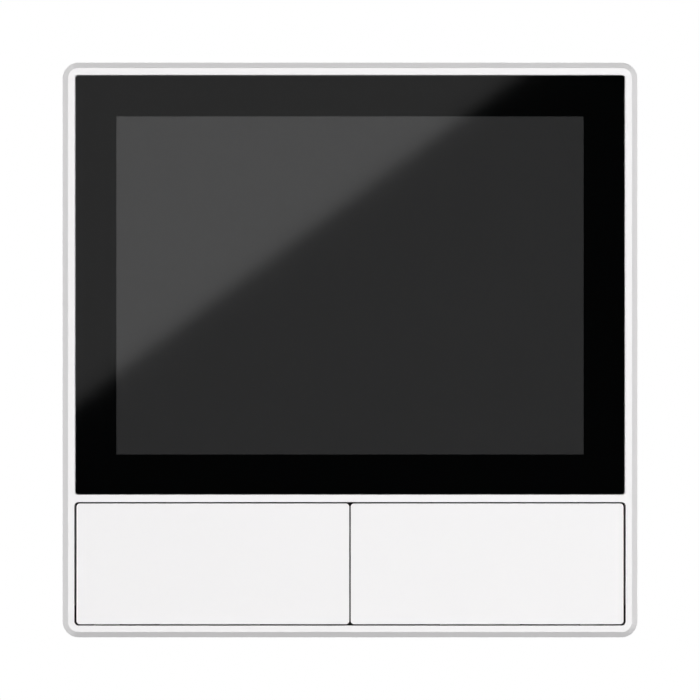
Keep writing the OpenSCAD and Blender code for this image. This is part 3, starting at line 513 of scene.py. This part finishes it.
def welded(nodes):
    """The nodes' meshes as one bmesh, with the faces of each solid joined up."""
    bm = bmesh.new()
    for node in nodes:
        bm.from_mesh(frame["nodes"][node].data)
    bmesh.ops.remove_doubles(bm, verts=bm.verts, dist=WELD)
    return bm


def solid_boxes(node):
    """Lowest and highest corner of each separate solid of a node, in the order of their places."""
    bm = welded([node])
    left, boxes = set(bm.verts), []
    while left:
        found = [left.pop()]
        for vert in found:
            joined = {edge.other_vert(vert) for edge in vert.link_edges} & left
            left -= joined
            found.extend(joined)
        boxes.append([Vector([pick(v.co[i] for v in found) for i in range(3)]) for pick in (min, max)])
    bm.free()
    return sorted(boxes, key=lambda box: tuple(box[0]))


class Ground:
    """One side of a board, -1 for its front and 1 for its back, and what stands on it."""

    def __init__(self, board, side):
        self.side = side
        self.low, self.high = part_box(board)
        self.y = (self.low if side < 0 else self.high).y
        own, rest = welded([board]), welded([n for n in frame["nodes"] if n != board])
        self.sheet, self.others = BVHTree.FromBMesh(own), BVHTree.FromBMesh(rest)
        own.free()
        rest.free()
        self.taken = []

    def take(self, x, z, reach, height):
        """Takes the spot if the board is whole there and nothing stands within reach of it."""
        spot = Vector((x, self.y, z))
        probe = spot + Vector((0, self.side * height / 2, 0))
        if self.others.find_nearest(probe, reach)[0] or any((spot - t).length < reach for t in self.taken):
            return False
        for i in (-1, 1):
            for j in (-1, 1):
                corner = probe + Vector((i * reach * CORNER, 0, j * reach * CORNER))
                if not self.sheet.ray_cast(corner, Vector((0, -self.side, 0)), height)[0]:
                    return False
        self.taken.append(spot)
        return True


def add_block(bm, middle, size, index):
    """A block of one material, by its number among the piece's materials."""
    made = bmesh.ops.create_cube(bm, matrix=Matrix.Translation(middle) @ Matrix.Diagonal((*size, 1)))
    for face in {f for v in made["verts"] for f in v.link_faces}:
        face.material_index = index


def small_chips(name, board, side, count, length_mm, height_mm, seed):
    """Short rows of chip resistors and capacitors with tinned ends, wherever the board has room."""
    ground, rng = Ground(board, side), random.Random(seed)
    length, height = length_mm * MM, height_mm * MM
    width, end, pitch = length * CHIP_WIDTH, length * CHIP_END, length * CHIP_PITCH
    body, resin_or_ceramic, tin = length - 2 * end, (0, 1), 2
    bm = bmesh.new()
    for _ in range(count):
        x, z = rng.uniform(ground.low.x, ground.high.x), rng.uniform(ground.low.z, ground.high.z)
        across, kind = rng.random() < 0.5, rng.choice(resin_or_ceramic)
        for k in range(rng.randint(*CHIP_ROW)):
            px, pz = (x + k * pitch, z) if across else (x, z + k * pitch)
            if not ground.take(px, pz, length, height):
                break
            along = Vector((0, 0, 1)) if across else Vector((1, 0, 0))
            middle = Vector((px, ground.y + side * height / 2, pz))
            parts = ((0, body, CHIP_BODY, kind), (0.5, end, 1, tin), (-0.5, end, 1, tin))
            for shift, run, thick, index in parts:
                size = (run, height * thick, width) if along.x else (width, height * thick, run)
                sunk = Vector((0, side * height * (1 - thick) / 2, 0))
                add_block(bm, middle - sunk + along * shift * (length - end), size, index)
    bmesh.ops.bevel(bm, geom=list(bm.edges), offset=CHIP_EDGE, segments=1, affect="EDGES")
    finishes = [MATERIALS[m] for m in ("chip_resin", "ceramic", "tin")]
    finish_piece(name, bm, finishes, BODY[board], smooth=False)


def solder_joints(name, board):
    """Soldered legs of the leaded parts, on the side of the board away from them."""
    ground, bm = Ground(board, -1), bmesh.new()
    for node in LEADED:
        for low, high in solid_boxes(node):
            if low.y > ground.high.y + STANDS_ON:
                continue
            for x in legs(low.x, high.x):
                for z in legs(low.z, high.z):
                    if ground.take(x, z, JOINT_REACH, JOINT_HEIGHT):
                        add_joint(bm, Vector((x, ground.y, z)))
    finish_piece(name, bm, MATERIALS["tin"], BODY[board])


def legs(start, end):
    """Where a part's legs stand along one side of it: near both ends, or in the middle if it's short."""
    if end - start > 2 * LEG_INSET:
        return start + LEG_INSET, end - LEG_INSET
    return ((start + end) / 2,)


def add_joint(bm, foot, sides=12):
    """A soldered joint standing forward on a board."""
    rings = []
    for radius, height in JOINT_PROFILE:
        ring = []
        for k in range(sides):
            turn = 2 * math.pi * k / sides
            off = Vector((math.cos(turn) * radius, -height, math.sin(turn) * radius))
            ring.append(bm.verts.new(foot + off * MM))
        rings.append(ring)
    for inner, outer in zip(rings, rings[1:]):
        for k in range(sides):
            bm.faces.new((inner[k], inner[k - 1], outer[k - 1], outer[k]))
    bm.faces.new(reversed(rings[0]))
    bm.faces.new(rings[-1])


small_chips("main_board_small_chips", "main_board", 1, 90, 1.6, 0.45, seed=4)
small_chips("main_board_front_chips", "main_board", -1, 60, 1.6, 0.4, seed=9)
small_chips("power_board_small_chips", "power_board", 1, 60, 2.0, 0.6, seed=5)
solder_joints("power_board_solder", "power_board")


# ---------------------------------------------------------------- camera, light and floor

FRONT = cad_low.y
FACE = cad_high.x - cad_low.x
SENSOR = 36  # mm
LENS = 400  # mm, long, because the photograph shows hardly any perspective
SHOWN = FACE * 1.2168  # width of the picture at the front plane
DISTANCE = SHOWN * LENS / SENSOR
CENTRE = (cad_low + cad_high) / 2


def aimed(thing, place, target):
    """Puts a camera or light in a place, turned towards a target."""
    thing.location = place
    thing.rotation_euler = (Vector(target) - Vector(place)).to_track_quat("-Z", "Y").to_euler()


def make_camera():
    data = bpy.data.cameras.new("camera")
    data.lens = LENS
    data.sensor_width = SENSOR
    data.clip_start = 0.05
    data.clip_end = 20
    camera = bpy.data.objects.new("camera", data)
    bpy.context.scene.collection.objects.link(camera)
    aimed(camera, (CENTRE.x, FRONT - DISTANCE, CENTRE.z), (CENTRE.x, FRONT, CENTRE.z))
    bpy.context.scene.camera = camera


def soft_light(name, tilt_deg, turn_deg, strength, distance=1.1, mirrored=True):
    """Square soft light, tilt_deg off the front axis, towards turn_deg anticlockwise from the right."""
    data = bpy.data.lights.new(name, "AREA")
    data.shape = "SQUARE"
    data.size = distance / 2
    data.energy = strength * distance**2
    light = bpy.data.objects.new(name, data)
    light.visible_camera = False
    light.visible_glossy = mirrored
    bpy.context.scene.collection.objects.link(light)
    tilt, turn = math.radians(tilt_deg), math.radians(turn_deg)
    off = Vector((math.sin(tilt) * math.cos(turn), -math.cos(tilt), math.sin(tilt) * math.sin(turn)))
    aimed(light, CENTRE + off * distance, CENTRE)


def stage_plane(name, width, height, material, matrix):
    """A flat sheet that isn't part of the object."""
    bm = bmesh.new()
    bmesh.ops.create_grid(bm, x_segments=1, y_segments=1, size=0.5)
    bm.transform(matrix @ Matrix.Diagonal((width, height, 1, 1)))
    mesh = bpy.data.meshes.new(name)
    bm.to_mesh(mesh)
    bm.free()
    mesh.materials.append(material)
    plane = bpy.data.objects.new(name, mesh)
    bpy.context.scene.collection.objects.link(plane)
    return plane


FLOOR_LEVEL = -1.7
FLOOR_SIZE = 8


def make_floor():
    """Pale floor, far enough down that no view goes under it, and that throws no light back up."""
    n = Nodes("floor_paper")
    n.colour(n.blend(n.noise(size_mm=60), (0.8, 0.8, 0.79), (0.84, 0.84, 0.83)))
    n.set(Roughness=0.8, Emission_Color=(1, 1, 1, 1), Emission_Strength=0.8)
    floor = stage_plane("floor", FLOOR_SIZE, FLOOR_SIZE, n.mat, Matrix.Translation((0, 0, FLOOR_LEVEL)))
    floor.visible_diffuse = floor.visible_glossy = False


CARD_GLOW = 0.6


def make_card():
    """A large lit card up to the left, whose straight lower edge the glass mirrors."""
    lean = math.radians(36.5)  # how far the edge leans in the glass
    edge_off = 18.1 * MM  # how far the mirrored edge passes from the face's centre
    soft = 2.3 * MM  # how wide the mirrored edge's fade is
    depth = 0.7  # how far before the wall the card hangs
    size, width = 0.5, 0.8
    spread = (DISTANCE + depth + FRONT) / DISTANCE  # of the card to its mirror image on the face
    n = Nodes("card_light")
    glow = n.add("Emission")
    across = n.add("SeparateXYZ")
    n.link(n.place, across.inputs["Vector"])
    start = -size / 2
    fade = n.ramp(across.outputs["Y"], 0, CARD_GLOW, start, start + soft * spread)
    n.link(fade, glow.inputs["Strength"])
    n.link(glow.outputs["Emission"], n.out.inputs["Surface"])
    up = Vector((-math.sin(lean), 0, math.cos(lean)))
    card = stage_plane("card", width, size, n.mat, Matrix.Identity(4))
    along = Vector((math.cos(lean), 0, math.sin(lean)))
    middle = Vector((CENTRE.x, -depth, CENTRE.z)) + up * (edge_off * spread - soft * spread / 2 + size / 2)
    turn = Matrix((along, up, along.cross(up))).transposed().to_4x4()
    card.matrix_world = Matrix.Translation(middle) @ turn
    for ray in ("camera", "diffuse", "transmission", "volume_scatter", "shadow"):
        setattr(card, "visible_" + ray, False)


# Depth component of a direction where the surroundings start and stop brightening, and their strengths
DOME = (0.4, 0.7, 0.004, 0.9)


def make_world():
    """Plain pale surroundings: dim on the camera's side, so the glass stays dark, and bright behind."""
    world = bpy.data.worlds.new("studio")
    world.use_nodes = True
    tree = world.node_tree
    tree.nodes.clear()
    kinds = ("OutputWorld", "Background", "Background", "MixShader", "TexCoord", "SeparateXYZ", "MapRange",
             "LightPath")
    out, shade, plain, choose, place, split, ramp, path = [
        tree.nodes.new("ShaderNode" + kind) for kind in kinds
    ]
    tree.links.new(place.outputs["Generated"], split.inputs["Vector"])
    tree.links.new(split.outputs["Y"], ramp.inputs["Value"])
    for name, number in zip(("From Min", "From Max", "To Min", "To Max"), DOME):
        ramp.inputs[name].default_value = number
    tree.links.new(ramp.outputs["Result"], shade.inputs["Strength"])
    plain.inputs["Strength"].default_value = 1.0
    tree.links.new(path.outputs["Is Camera Ray"], choose.inputs["Fac"])
    tree.links.new(shade.outputs["Background"], choose.inputs[1])
    tree.links.new(plain.outputs["Background"], choose.inputs[2])
    tree.links.new(choose.outputs["Shader"], out.inputs["Surface"])
    for background in (shade, plain):
        background.inputs["Color"].default_value = (1, 1, 1, 1)
    bpy.context.scene.world = world


make_camera()
make_world()
make_floor()
make_card()
# The glass would mirror the upper and lower lights into some views, so they show in no reflection
soft_light("light_top", tilt_deg=38, turn_deg=70, strength=5.7, mirrored=False)
soft_light("light_bottom", tilt_deg=38, turn_deg=290, strength=4.83, mirrored=False)
soft_light("light_left", tilt_deg=66, turn_deg=180, strength=4.91, distance=3.0)
soft_light("light_right", tilt_deg=66, turn_deg=0, strength=1.525, distance=0.8)
bpy.context.scene.view_settings.view_transform = "Standard"
